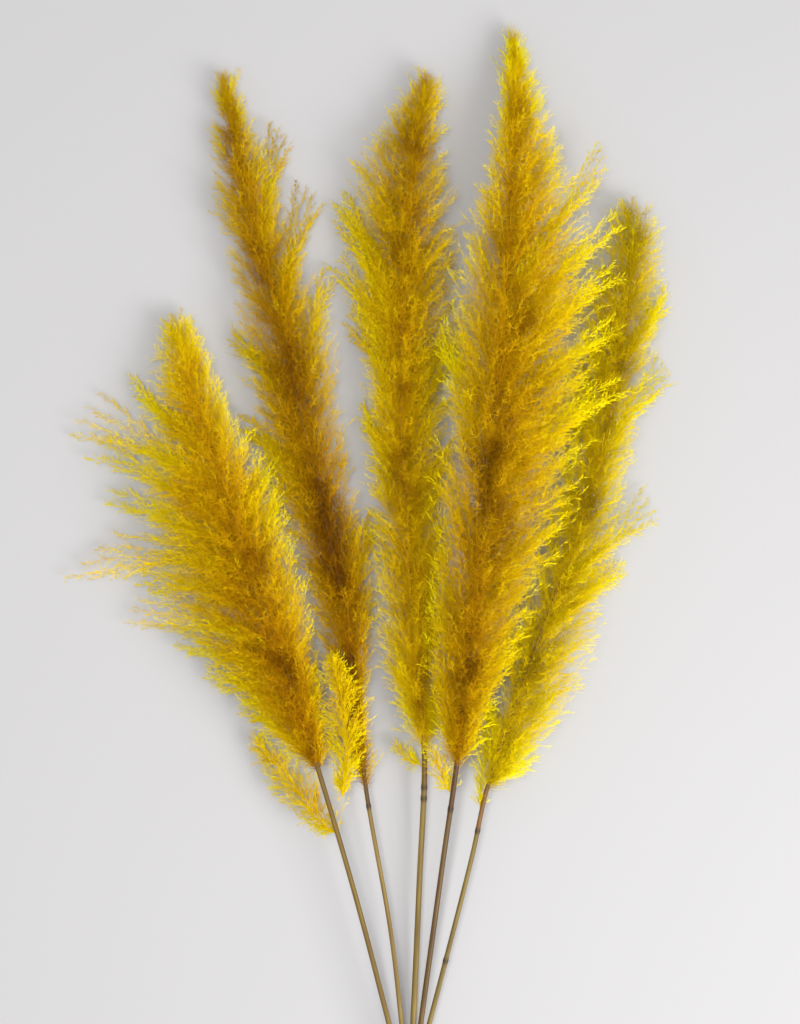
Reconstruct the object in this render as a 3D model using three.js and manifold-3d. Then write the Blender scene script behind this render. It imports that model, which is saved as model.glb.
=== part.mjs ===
// A loose bundle of five cut and dried pampas grass stems, dyed yellow, lying on a flat surface.
// Millimetres, +Z up from the surface, +Y from the cut ends to the tips of the plumes.
// Each stem is a stalk that runs on as the rachis inside its plume, with the branches that stand apart.
import * as THREE from "three";
import { mergeVertices } from "three/addons/utils/BufferGeometryUtils.js";
import Module from "manifold-3d";

const wasm = await Module();
wasm.setup();

// Driving dimensions.
const LENGTH_SCALE = 1; // along the stems, 1 for a tallest stem of about 1.18 m
const SPREAD_SCALE = 1; // across the fan of stems
const FULLNESS = 1; // share of the half-widths listed for each plume and branch
const LOFT = 0.72; // a plume's depth from its rachis, as a share of its mean half-width
const GAP = 0.35; // clearance between neighbouring pieces
const CUT_Y = -280; // where the stalks were cut
const CROSSING_X = 9; // where the stalks lie across each other
const CROSSING_Y = -75;
const STALK_TAPER = 0.86; // radius at the plume's base, as a share of that at the cut end
const RACHIS_TIP_RADIUS = 0.7;
const RACHIS_END = 0.97; // share of the stem's length where the rachis ends
const RING_HEIGHT = 0.45; // how far a node ring stands proud of its stalk
const RING_HALF_LENGTH = 2.6;
const RING_RAMP = 1.6; // length over which a stalk swells to its ring
const BRANCH_LOFT = 0.55; // a separate branch's depth, as a share of its half-width
const ROOT_DEPTH = 14; // how far inside the plume's edge a side branch starts
const TIP_HEIGHT = 9; // the lowest a side branch's tip comes to the surface
const SIDE_DROOP = 22; // how far a side branch's tip droops below its plume's rachis

// Facets.
const STALK_SIDES = 8;
const STALK_STEPS = 22;
const PLUME_SIDES = 14;
const PLUME_STEPS = 16;
const BRANCH_SIDES = 8;
const BRANCH_STEPS = 7;

// One entry a stem, from the left of the fan to the right.
// level: its place in the pile where the stalks cross, 0 at the bottom.
// rings: how far along +Y its nodes are.
// rachis: [x, y, height] from the plume's base to its tip.
// left, right: the plume's half-widths at equal steps from its base to its tip.
const STEMS = [
  {
    radius: 2.6,
    level: 4,
    rings: [-168],
    rachis: [
      [-74, 230, 36],
      [-99, 310, 35],
      [-128, 391, 33],
      [-158, 481, 29],
      [-185, 562, 22],
      [-202, 637, 12],
    ],
    left: [5, 46, 70, 84, 80, 68, 52, 24, 3],
    right: [5, 14, 25, 33, 35, 29, 29, 21, 3],
    dye: 0xcfa215,
    straw: 0xa88a45,
  },
  {
    radius: 2.3,
    level: 2,
    rings: [194],
    rachis: [
      [-31, 211, 24],
      [-49, 364, 20],
      [-72, 472, 20],
      [-104, 607, 21],
      [-140, 742, 17],
      [-162, 859, 8],
    ],
    left: [5, 15, 30, 35, 38, 40, 31, 24, 2],
    right: [5, 14, 20, 28, 34, 35, 32, 24, 2],
    dye: 0xb08210,
    straw: 0xb59a4e,
  },
  {
    radius: 3.0,
    level: 0,
    rings: [201, 211],
    rachis: [
      [22, 247, 22],
      [13, 337, 24],
      [4, 472, 24],
      [0, 607, 26],
      [9, 742, 23],
      [27, 859, 12],
    ],
    left: [6, 26, 30, 26, 31, 38, 48, 44, 8],
    right: [5, 34, 42, 42, 46, 52, 46, 30, 8],
    dye: 0xc99c12,
    straw: 0x8f7a4f,
  },
  {
    radius: 2.75,
    level: 3,
    rings: [193],
    rachis: [
      [51, 233, 38],
      [63, 364, 60],
      [81, 517, 64],
      [94, 652, 58],
      [101, 787, 36],
      [103, 893, 9],
    ],
    left: [6, 33, 42, 44, 44, 41, 30, 20, 2],
    right: [6, 36, 60, 80, 88, 78, 64, 34, 2],
    dye: 0xd6a90c,
    straw: 0x8a6d3c,
  },
  {
    radius: 2.45,
    level: 1,
    rings: [53, 172],
    rachis: [
      [79, 211, 26],
      [126, 346, 26],
      [171, 472, 24],
      [203, 625, 24],
      [216, 742, 15],
    ],
    left: [5, 26, 30, 30, 34, 40, 42, 40, 16],
    right: [5, 46, 52, 50, 40, 34, 34, 26, 14],
    dye: 0xb79410,
    straw: 0x9c8a4a,
  },
];

// Branches that leave a stalk below its plume.
// from: how far along +Y they leave it. run: [x, y, height] from there. width: half-widths at equal steps.
const LOW_BRANCHES = [
  {
    name: "low_branch_1_left",
    stem: 0,
    from: 168,
    run: [[0, 0, 0], [-26, 16, -10], [-54, 44, -18], [-80, 78, -22]],
    width: [1.5, 12, 17, 16, 2],
  },
  {
    name: "low_branch_1_right",
    stem: 0,
    from: 172,
    run: [[1, 0, 0], [5, 40, -2], [8, 92, -2], [-4, 158, 4]],
    width: [1.5, 5, 16, 17, 2],
  },
  {
    name: "low_branch_3_left",
    stem: 2,
    from: 232,
    run: [[0, 0, 0], [-14, 12, -2], [-27, 30, -8]],
    width: [1.2, 5, 7, 1.5],
  },
  {
    name: "low_branch_4_left",
    stem: 3,
    from: 204,
    run: [[0, 0, 0], [-10, 22, -2], [-20, 46, -2]],
    width: [1.2, 7, 10, 2],
  },
  {
    name: "low_branch_5_left",
    stem: 4,
    from: 182,
    run: [[0, 0, 0], [-2, 50, -6], [2, 104, -10]],
    width: [1.2, 8, 11, 2],
  },
];

// Long branches whose tips stand clear of the plume.
// at: share of the plume's length. side: -1 left, 1 right. reach: how far past the plume's edge the tip is.
// forward: how far along the plume the tip is from the root. width: half-widths at equal steps.
const SIDE_BRANCHES = [
  { name: "side_branch_1_low", stem: 0, at: 0.36, side: -1, reach: 36, forward: 20, width: [8, 9, 6, 2] },
  { name: "side_branch_1_middle", stem: 0, at: 0.47, side: -1, reach: 76, forward: 24, width: [9, 11, 7, 2] },
  { name: "side_branch_1_top", stem: 0, at: 0.72, side: -1, reach: 66, forward: 44, width: [9, 11, 7, 2] },
  { name: "side_branch_2_middle", stem: 1, at: 0.73, side: 1, reach: 24, forward: 40, width: [7, 8, 5, 2] },
  { name: "side_branch_2_top", stem: 1, at: 0.83, side: 1, reach: 22, forward: 36, width: [6, 7, 5, 2] },
  { name: "side_branch_3_middle", stem: 2, at: 0.58, side: -1, reach: 18, forward: 26, width: [6, 7, 5, 2] },
  { name: "side_branch_3_top", stem: 2, at: 0.7, side: -1, reach: 22, forward: 44, width: [7, 8, 5, 2] },
  { name: "side_branch_4_top", stem: 3, at: 0.73, side: 1, reach: 22, forward: 56, width: [8, 9, 6, 2] },
  { name: "side_branch_5_middle", stem: 4, at: 0.43, side: 1, reach: 28, forward: 40, width: [7, 8, 5, 2] },
  { name: "side_branch_5_top", stem: 4, at: 0.66, side: 1, reach: 22, forward: 34, width: [7, 8, 5, 2] },
];

const UP = new THREE.Vector3(0, 0, 1);
const scaled = ([x, y, z]) => new THREE.Vector3(x * SPREAD_SCALE, y * LENGTH_SCALE, z);
const curveThrough = (points) => new THREE.CatmullRomCurve3(points, false, "centripetal");

// A value from a list given at equal steps, at this share of the way along it.
function valueAt(list, share) {
  const step = Math.min(share, 1) * (list.length - 1);
  const before = Math.min(Math.floor(step), list.length - 2);
  return THREE.MathUtils.lerp(list[before], list[before + 1], step - before);
}

// A closed straight piece of radius 1 along +Y, with a ring of corners at each of these shares.
function straightPiece(shares, sides) {
  const profile = [new THREE.Vector2(0, shares[0])];
  for (const share of shares) {
    profile.push(new THREE.Vector2(1, share));
  }
  profile.push(new THREE.Vector2(0, shares.at(-1)));
  return new THREE.LatheGeometry(profile, sides);
}

const equalSteps = (steps, end = 1) => Array.from({ length: steps + 1 }, (_, i) => (i / steps) * end);

// The horizontal direction across a curve, to the right of the way it runs.
function acrossAt(curve, share) {
  return new THREE.Vector3().crossVectors(curve.getTangentAt(share), UP).normalize();
}

// Bends a straight piece along a curve. size(share) gives its extents to the left, right, up and down.
// Nothing reaches below the surface the bundle lies on, so an underside that would is flat there.
function bendAlong(geometry, curve, size) {
  const position = geometry.attributes.position;
  const corner = new THREE.Vector3();
  for (let i = 0; i < position.count; i += 1) {
    const share = position.getY(i);
    const extent = size(share);
    const across = position.getX(i) * (position.getX(i) < 0 ? extent.left : extent.right);
    const lift = position.getZ(i) * (position.getZ(i) < 0 ? extent.down : extent.up);
    const side = acrossAt(curve, share);
    const rise = new THREE.Vector3().crossVectors(side, curve.getTangentAt(share));
    corner.copy(curve.getPointAt(share)).addScaledVector(side, across).addScaledVector(rise, lift);
    position.setXYZ(i, corner.x, corner.y, Math.max(corner.z, 0));
  }
  return geometry;
}

function solidOf(geometry) {
  geometry.deleteAttribute("normal");
  geometry.deleteAttribute("uv");
  const merged = mergeVertices(geometry, 1e-3);
  const mesh = new wasm.Mesh({
    numProp: 3,
    vertProperties: merged.attributes.position.array,
    triVerts: new Uint32Array(merged.index.array),
  });
  return new wasm.Manifold(mesh);
}

function geometryOf(solid) {
  const mesh = solid.getMesh();
  const geometry = new THREE.BufferGeometry();
  geometry.setAttribute("position", new THREE.BufferAttribute(mesh.vertProperties, 3));
  geometry.setIndex(new THREE.BufferAttribute(mesh.triVerts, 1));
  geometry.computeVertexNormals();
  return geometry;
}

function largestBody(solid) {
  const bodies = solid.decompose();
  return bodies.reduce((best, body) => (body.volume() > best.volume() ? body : best));
}

// The height of a stalk's axis where the stalks cross: it lies on those below it in the pile.
function crossingHeight(stem) {
  const below = STEMS.filter((other) => other.level < stem.level);
  const pile = below.reduce((height, other) => height + 2 * other.radius + 2 * GAP, 0);
  return pile + stem.radius;
}

// A stem's axis: straight from its cut end through the crossing to its plume, then along the rachis.
function stemCurve(stem) {
  const rachis = stem.rachis.map(scaled);
  const base = rachis[0];
  const crossing = scaled([CROSSING_X, CROSSING_Y, crossingHeight(stem)]);
  const beyond = (CUT_Y * LENGTH_SCALE - crossing.y) / (base.y - crossing.y);
  const cutEnd = crossing.clone().lerp(base, beyond);
  cutEnd.z = Math.max(cutEnd.z, stem.radius);
  return curveThrough([cutEnd, crossing, ...rachis]);
}

// The share of a curve's length at which it has come this far along +Y.
function shareAtY(curve, y) {
  let low = 0;
  let high = 1;
  while (high - low > 1e-5) {
    const middle = (low + high) / 2;
    if (curve.getPointAt(middle).y < y) {
      low = middle;
    } else {
      high = middle;
    }
  }
  return low;
}

// A stalk with its node rings, which tapers to the tip of its rachis.
function stalkSolid(stem, clearance) {
  const curve = stemCurve(stem);
  const length = curve.getLength();
  const plumeStart = shareAtY(curve, stem.rachis[0][1] * LENGTH_SCALE);
  const rings = stem.rings.map((y) => shareAtY(curve, y * LENGTH_SCALE));
  const ringHalf = RING_HALF_LENGTH / length;
  const rampEnd = (RING_HALF_LENGTH + RING_RAMP) / length;
  const radiusAt = (share) => {
    const ring = rings.some((at) => Math.abs(share - at) < (ringHalf + rampEnd) / 2);
    const swelling = clearance + (ring ? RING_HEIGHT : 0);
    if (share < plumeStart) {
      return stem.radius * THREE.MathUtils.lerp(1, STALK_TAPER, share / plumeStart) + swelling;
    }
    const along = Math.min((share - plumeStart) / (RACHIS_END - plumeStart), 1);
    return THREE.MathUtils.lerp(stem.radius * STALK_TAPER, RACHIS_TIP_RADIUS, along) + swelling;
  };
  const ringShares = rings.flatMap((at) => [at - rampEnd, at - ringHalf, at + ringHalf, at + rampEnd]);
  const shares = [...equalSteps(STALK_STEPS, RACHIS_END + clearance / length), ...ringShares];
  const straight = straightPiece(shares.sort((a, b) => a - b), STALK_SIDES);
  const size = (share) => {
    const radius = radiusAt(share);
    return { left: radius, right: radius, up: radius, down: radius };
  };
  return solidOf(bendAlong(straight, curve, size));
}

const plumeCurve = (stem) => curveThrough(stem.rachis.map(scaled));

// The body of branches round a rachis, flat where it lies on the surface.
function plumeSolid(stem, clearance) {
  const size = (share) => {
    const left = valueAt(stem.left, share) * FULLNESS + clearance;
    const right = valueAt(stem.right, share) * FULLNESS + clearance;
    const depth = (LOFT * (left + right)) / 2;
    return { left, right, up: depth, down: depth };
  };
  const straight = straightPiece(equalSteps(PLUME_STEPS), PLUME_SIDES);
  return solidOf(bendAlong(straight, plumeCurve(stem), size));
}

function branchSolid(path, width, clearance) {
  const size = (share) => {
    const half = valueAt(width, share) * FULLNESS + clearance;
    const depth = BRANCH_LOFT * half;
    return { left: half, right: half, up: depth, down: depth };
  };
  const straight = straightPiece(equalSteps(BRANCH_STEPS), BRANCH_SIDES);
  return solidOf(bendAlong(straight, curveThrough(path), size));
}

// A low branch starts on its stalk's axis, and its stalk is cut out of its root.
function lowBranchPath(branch) {
  const curve = stemCurve(STEMS[branch.stem]);
  const root = curve.getPointAt(shareAtY(curve, branch.from * LENGTH_SCALE));
  return branch.run.map((offset) => scaled(offset).add(root));
}

// A side branch starts just inside its plume's edge, and its tip droops towards the surface.
function sideBranchPath(branch) {
  const stem = STEMS[branch.stem];
  const curve = plumeCurve(stem);
  const centre = curve.getPointAt(branch.at);
  const outward = acrossAt(curve, branch.at).multiplyScalar(branch.side);
  const edge = valueAt(branch.side < 0 ? stem.left : stem.right, branch.at) * FULLNESS;
  const forward = curve.getTangentAt(branch.at).multiplyScalar(branch.forward);
  const root = centre.clone().addScaledVector(outward, edge - ROOT_DEPTH);
  const tip = centre.clone().addScaledVector(outward, edge + branch.reach).add(forward);
  tip.z = Math.max(TIP_HEIGHT, centre.z - SIDE_DROOP);
  const middle = root.clone().lerp(tip, 0.5).addScaledVector(outward, branch.reach / 12);
  return [root, middle, tip];
}

const bundle = new THREE.Group();
bundle.name = "pampas_grass_bundle";
const laid = []; // the space each piece takes, with its clearance, in the order they were laid

// Cuts a piece back from those already laid, and adds it as a named mesh.
function lay(name, shape, material) {
  const fitted = laid.reduce((solid, taken) => solid.subtract(taken), shape(0));
  const mesh = new THREE.Mesh(geometryOf(largestBody(fitted)), material);
  mesh.name = name;
  bundle.add(mesh);
  laid.push(shape(GAP));
}

const dyed = (stem) => new THREE.MeshStandardMaterial({ color: stem.dye, roughness: 0.95, metalness: 0 });
const straw = (stem) => new THREE.MeshStandardMaterial({ color: stem.straw, roughness: 0.6, metalness: 0 });

STEMS.forEach((stem, i) => {
  lay(`stalk_${i + 1}`, (clearance) => stalkSolid(stem, clearance), straw(stem));
});
// The plumes on top keep their shape, and those under them give way.
const topDown = STEMS.map((_, i) => i).sort((a, b) => STEMS[b].level - STEMS[a].level);
for (const i of topDown) {
  lay(`plume_${i + 1}`, (clearance) => plumeSolid(STEMS[i], clearance), dyed(STEMS[i]));
}
for (const branch of LOW_BRANCHES) {
  const path = lowBranchPath(branch);
  lay(branch.name, (clearance) => branchSolid(path, branch.width, clearance), dyed(STEMS[branch.stem]));
}
for (const branch of SIDE_BRANCHES) {
  const path = sideBranchPath(branch);
  lay(branch.name, (clearance) => branchSolid(path, branch.width, clearance), dyed(STEMS[branch.stem]));
}

// The origin is on the surface, under the middle of the bundle.
const box = new THREE.Box3().setFromObject(bundle);
const middle = box.getCenter(new THREE.Vector3());
bundle.position.set(-middle.x, -middle.y, -box.min.z);

export default bundle;
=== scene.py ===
# A loose bundle of five cut pampas grass stems, dried and dyed yellow, lying fanned out on a pale surface.
import math

import bpy
import numpy as np
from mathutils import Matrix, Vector


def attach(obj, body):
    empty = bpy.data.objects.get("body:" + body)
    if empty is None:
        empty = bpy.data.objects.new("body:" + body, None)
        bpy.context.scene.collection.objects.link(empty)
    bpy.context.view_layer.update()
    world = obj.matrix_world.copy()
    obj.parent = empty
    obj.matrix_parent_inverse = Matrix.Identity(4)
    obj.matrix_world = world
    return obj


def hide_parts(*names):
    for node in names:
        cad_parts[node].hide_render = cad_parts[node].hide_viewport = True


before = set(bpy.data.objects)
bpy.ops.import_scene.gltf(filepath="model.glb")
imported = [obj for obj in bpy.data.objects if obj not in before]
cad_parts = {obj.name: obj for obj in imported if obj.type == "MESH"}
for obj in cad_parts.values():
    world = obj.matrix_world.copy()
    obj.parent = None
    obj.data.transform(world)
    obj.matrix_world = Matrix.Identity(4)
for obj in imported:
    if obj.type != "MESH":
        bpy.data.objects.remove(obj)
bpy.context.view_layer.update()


# ---- The surface, the light and the camera -------------------------------------------------------
# The bundle lies on a matt, pale grey table top. One large soft lamp hangs nearly straight above it and
# one stands off to its right, beyond the cut ends. The camera looks straight down on it.
def linear(colour):
    """An sRGB hex colour such as "e3c000" as linear red, green and blue, with an alpha of 1."""
    parts = [int(colour[i:i + 2], 16) / 255 for i in (0, 2, 4)]
    return [c / 12.92 if c <= 0.04045 else ((c + 0.055) / 1.055) ** 2.4 for c in parts] + [1.0]


def node(tree, kind, settings=None, links=None):
    """Adds a node, sets its properties or the values of its sockets, and links its sockets."""
    made = tree.nodes.new(kind)
    for name, value in (settings or {}).items():
        if isinstance(name, str) and hasattr(made, name):
            setattr(made, name, value)
        else:
            made.inputs[name].default_value = value
    for name, source in (links or {}).items():
        tree.links.new(source, made.inputs[name])
    return made


def new_material(name):
    """An empty material that is made of nodes."""
    material = bpy.data.materials.new(name)
    material.use_nodes = True
    material.node_tree.nodes.clear()
    return material


def surface(material, settings, links=None):
    """Gives a material its shader."""
    tree = material.node_tree
    shader = node(tree, "ShaderNodeBsdfPrincipled", settings, links)
    node(tree, "ShaderNodeOutputMaterial", links={"Surface": shader.outputs["BSDF"]})


MM = 0.001
TABLE_COLOUR = "aeadad"
TABLE_SIZE = 14.0
ROOM_COLOUR = "fdfcff"
ROOM_LIGHT = 0.62
VIEW_MIDDLE = (0.0, 461.0)        # mm, in the fan's own plan
CAMERA_HEIGHT = 2.3
VIEW_HEIGHT = 0.938               # how much of the table top the camera takes in
SENSOR_WIDTH = 36.0
THIRD_STALK_END = (0.72, -280.0)  # mm, in the fan's own plan
END_DEPTH = 0.5                   # mm of the third stalk that counts as its cut end

# The sizes below are in the fan's own plan, in mm. The cut end of the third stalk, which reaches lowest,
# ties that plan to the frame.
third_stalk = np.array([v.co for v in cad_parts["stalk_3"].data.vertices])
third_end = third_stalk[third_stalk[:, 1] < third_stalk[:, 1].min() + END_DEPTH * MM].mean(0)
plan_shift = np.array([third_end[0], third_end[1], 0.0]) - np.array([*THIRD_STALK_END, 0.0]) * MM

bpy.ops.object.select_all(action="DESELECT")
bpy.ops.mesh.primitive_plane_add(size=TABLE_SIZE, location=(0, 0, 0))
table = bpy.context.object
table.name = "table_top"
# Matt laminate, pressed smooth, so it shows soft shadows and no reflections.
laminate = new_material("matt_laminate")
surface(laminate, {"Base Color": linear(TABLE_COLOUR), "Roughness": 0.9})
table.data.materials.append(laminate)

world = bpy.data.worlds.new("studio")
bpy.context.scene.world = world
world.use_nodes = True
world.node_tree.nodes["Background"].inputs["Color"].default_value = linear(ROOM_COLOUR)
world.node_tree.nodes["Background"].inputs["Strength"].default_value = ROOM_LIGHT

# Where each lamp stands, in metres, with its width in metres and its power in watts.
for name, place, width, power in (
    ("front_lamp", (-0.35, 0.25, 3.1), 1.0, 58),
    ("side_lamp", (1.8, -1.1, 1.7), 1.6, 76),
):
    light = bpy.data.lights.new(name, "AREA")
    light.shape = "DISK"
    light.size = width
    light.energy = power
    lamp = bpy.data.objects.new(name, light)
    bpy.context.scene.collection.objects.link(lamp)
    lamp.location = place
    lamp.rotation_euler = (-Vector(place)).to_track_quat("-Z", "Y").to_euler()

camera_data = bpy.data.cameras.new("camera")
camera = bpy.data.objects.new("camera", camera_data)
bpy.context.scene.collection.objects.link(camera)
bpy.context.scene.camera = camera
camera.location = (
    VIEW_MIDDLE[0] * MM + plan_shift[0],
    VIEW_MIDDLE[1] * MM + plan_shift[1],
    CAMERA_HEIGHT,
)
camera_data.sensor_width = SENSOR_WIDTH
camera_data.lens = SENSOR_WIDTH * CAMERA_HEIGHT / VIEW_HEIGHT
bpy.context.scene.view_settings.view_transform = "Standard"


# ---- The stalks ----------------------------------------------------------------------------------
# Each is a smooth, pithy culm of dried grass, 4.6 to 6 mm thick, cut square at its foot. It has a dark
# ring at each node, and thins to a wiry rachis inside its plume. The five lie loose, one on another where
# they cross near the foot.

# The numbers of each stem, with lengths in mm and places in the fan's own plan:
# radius: half of the culm's thickness at its foot.
# level: its place in the pile where the culms cross, counted from the table up.
# rings: the y of each node of the culm.
# waist: how far to the right of the straight line from crossing to plume the culm lies, and at which y.
# straw, upper_straw: the dark and the pale of the streaks, below the last node and above it.
# rachis: the places that the rachis runs through, from the foot of the plume to its tip.
# left, right: the plume's half-widths at equal steps from its foot to its tip.
# lean: how far a branch on the left and on the right runs up the stem, as a share of its reach.
# glow: how much paler the hair is coloured at the foot of the plume and at its tip.
# sprays: its longest branches, each with its share of the rachis, its side, and how far past the plume's
# edge and how far forward its tip lies.
STEMS = [
    dict(
        radius=2.6, level=4, rings=[-168], waist=(2.3, 111), glow=(-0.09, 0.18),
        straw=("5e4816", "7a6523"), upper_straw=("5a4214", "745e20"),
        rachis=[
            (-74, 230, 36), (-99, 310, 35), (-128, 391, 33),
            (-158, 481, 29), (-185, 562, 22), (-202, 637, 12),
        ],
        left=[5, 40, 66, 82, 86, 74, 57, 34, 12],
        right=[5, 20, 35, 42, 46, 45, 34, 23, 9],
        lean=(0.55, 1.6),
        sprays=[
            (0.78, -1, -4, 44), (0.65, -1, 36, 54), (0.58, -1, 28, 38),
            (0.45, -1, 16, 14), (0.28, -1, 16, 26), (0.20, -1, 14, 20),
            (0.12, -1, 12, 16), (0.60, 1, 22, 30), (0.52, 1, 16, 34),
        ],
    ),
    dict(
        radius=2.3, level=2, rings=[194], waist=(4.3, 75), glow=(-0.08, 0.14),
        straw=("664e1c", "826c30"), upper_straw=("453012", "614a1c"),
        rachis=[
            (-31, 211, 24), (-49, 364, 20), (-72, 472, 20),
            (-104, 607, 21), (-140, 742, 17), (-162, 859, 8),
        ],
        left=[3, 15, 32, 38, 45, 36, 29, 25, 2],
        right=[1, 6, 29, 38, 40, 43, 41, 26, 2],
        lean=(1.3, 1.3),
        sprays=[(0.60, -1, 4, 24), (0.48, -1, 8, 24), (0.63, 1, 12, 36), (0.30, 1, 6, 30)],
    ),
    dict(
        radius=3.0, level=0, rings=[201, 211], waist=(0.6, 120), glow=(0.11, -0.03),
        straw=("665022", "826e30"), upper_straw=("5a4216", "80621e"),
        rachis=[
            (22, 247, 22), (13, 337, 24), (4, 472, 24),
            (0, 607, 26), (9, 742, 23), (27, 859, 12),
        ],
        left=[3, 30, 38, 33, 31, 36, 54, 53, 6],
        right=[5, 34, 42, 45, 49, 60, 57, 27, 4],
        lean=(0.9, 1.1),
        sprays=[(0.72, -1, 14, 46), (0.63, -1, 28, 46), (0.45, -1, 0, 24)],
    ),
    dict(
        radius=2.75, level=3, rings=[193], waist=(-0.3, 150), glow=(-0.12, 0.09),
        straw=("422d0e", "604818"), upper_straw=("41270a", "5a3b10"),
        rachis=[
            (51, 233, 38), (63, 364, 60), (81, 517, 64),
            (94, 652, 58), (101, 787, 36), (103, 893, 9),
        ],
        left=[6, 33, 42, 48, 50, 50, 37, 13, 0],
        right=[4, 36, 60, 80, 88, 80, 69, 35, 0],
        lean=(1.4, 0.85),
        sprays=[
            (0.67, 1, 24, 46), (0.62, 1, 22, 36), (0.48, 1, 30, 30),
            (0.55, 1, 18, 36), (0.14, 1, 8, 18), (0.50, -1, 6, 44),
        ],
    ),
    dict(
        radius=2.45, level=1, rings=[53, 172], waist=(1.6, 150), glow=(0.0, -0.04),
        straw=("5c481c", "7c682c"), upper_straw=("5a3a18", "7e581e"),
        rachis=[(79, 211, 26), (126, 346, 26), (171, 472, 24), (203, 625, 24), (216, 742, 15)],
        left=[4, 21, 30, 30, 34, 40, 42, 40, 16],
        right=[8, 42, 49, 39, 28, 28, 32, 28, 16],
        lean=(1.2, 0.95),
        sprays=[(0.36, 1, 10, 24), (0.05, 1, 10, 10), (0.80, 1, 2, 24)],
    ),
]
CROSSING = (9, -75)               # where the culms cross, in the fan's own plan
CUT_Y = -280                      # where they were cut
CROSSING_GAP = 0.35
STALK_SIDES = 14
STALK_STEP = 14                   # from one section to the next, closer at the rings
STALK_TAPER = 0.86                # the culm's radius under the plume, as a share of its radius at the foot
RACHIS_TIP_RADIUS = 0.5
RACHIS_END = 0.92                 # share of the plume's length where the rachis ends
RING_HEIGHT = 0.42                # how far a ring stands out of the culm
RING_HALF = 2.4                   # half of a ring's length
RING_SECTIONS = 6                 # on each side of a ring
RING_COLOUR = "2a1c0e"
RING_DARKNESS = 0.8
RING_STAIN = 1.3                  # how far its dark stain spreads, as a share of RING_HALF
PITH_DEPTH = 0.8                  # how far the pith has shrunk back into the cut foot
PITH_COLOUR = "d8c89a"
WALL_SHARE = 0.2                  # the culm's wall, as a share of its radius
SHARP_ANGLE = 50                  # degrees from which an edge stays sharp
STREAK_SIZE = (0.714, 0.714, 71.4)    # across the culm twice, and along it
STAIN_SIZE = (4.55, 4.55, 50)
STREAK_RELIEF = 0.2
ROUTE_STEPS = 800                 # in which each route is told
CURVE_STEPS = 80                  # between two of the points that a route runs through


def unit(vectors):
    """The vectors at a length of 1."""
    return vectors / np.maximum(np.linalg.norm(vectors, axis=-1, keepdims=True), 1e-12)


def smooth_route(points):
    """A smooth curve through points, as places at equal steps along it."""
    points = np.array(points, float)
    points = np.vstack([2 * points[0] - points[1], points, 2 * points[-1] - points[-2]])
    knots = np.concatenate([[0], np.cumsum(np.linalg.norm(np.diff(points, axis=0), axis=1) ** 0.5)])
    curve = []
    for first in range(len(points) - 3):
        knot = knots[first:first + 4]
        at = np.linspace(knot[1], knot[2], CURVE_STEPS)[:, None]

        def between(a, b, j, k):
            """What runs from a at one knot to b at another."""
            return ((knot[k] - at) * a + (at - knot[j]) * b) / (knot[k] - knot[j])

        a, b, c, d = points[first:first + 4]
        early = between(between(a, b, 0, 1), between(b, c, 1, 2), 0, 2)
        late = between(between(b, c, 1, 2), between(c, d, 2, 3), 1, 3)
        curve.append(between(early, late, 1, 2))
    curve = np.vstack(curve)
    lengths = np.concatenate([[0], np.cumsum(np.linalg.norm(np.diff(curve, axis=0), axis=1))])
    places = np.linspace(0, lengths[-1], ROUTE_STEPS + 1)
    return np.stack([np.interp(places, lengths, axis) for axis in curve.T], 1)


def on_route(route, share):
    """The place and the direction at each share of a route's length."""
    at = np.clip(share, 0, 1) * (len(route) - 1)
    low = np.minimum(at.astype(int), len(route) - 2)
    part = (at - low)[..., None]
    # The direction is taken over a few steps on each side, which evens it out.
    way = route[np.minimum(low + 6, len(route) - 1)] - route[np.maximum(low - 5, 0)]
    return route[low] * (1 - part) + route[low + 1] * part, unit(way)


def route_length(route):
    """How long a route is."""
    return np.linalg.norm(np.diff(route, axis=0), axis=1).sum()


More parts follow.
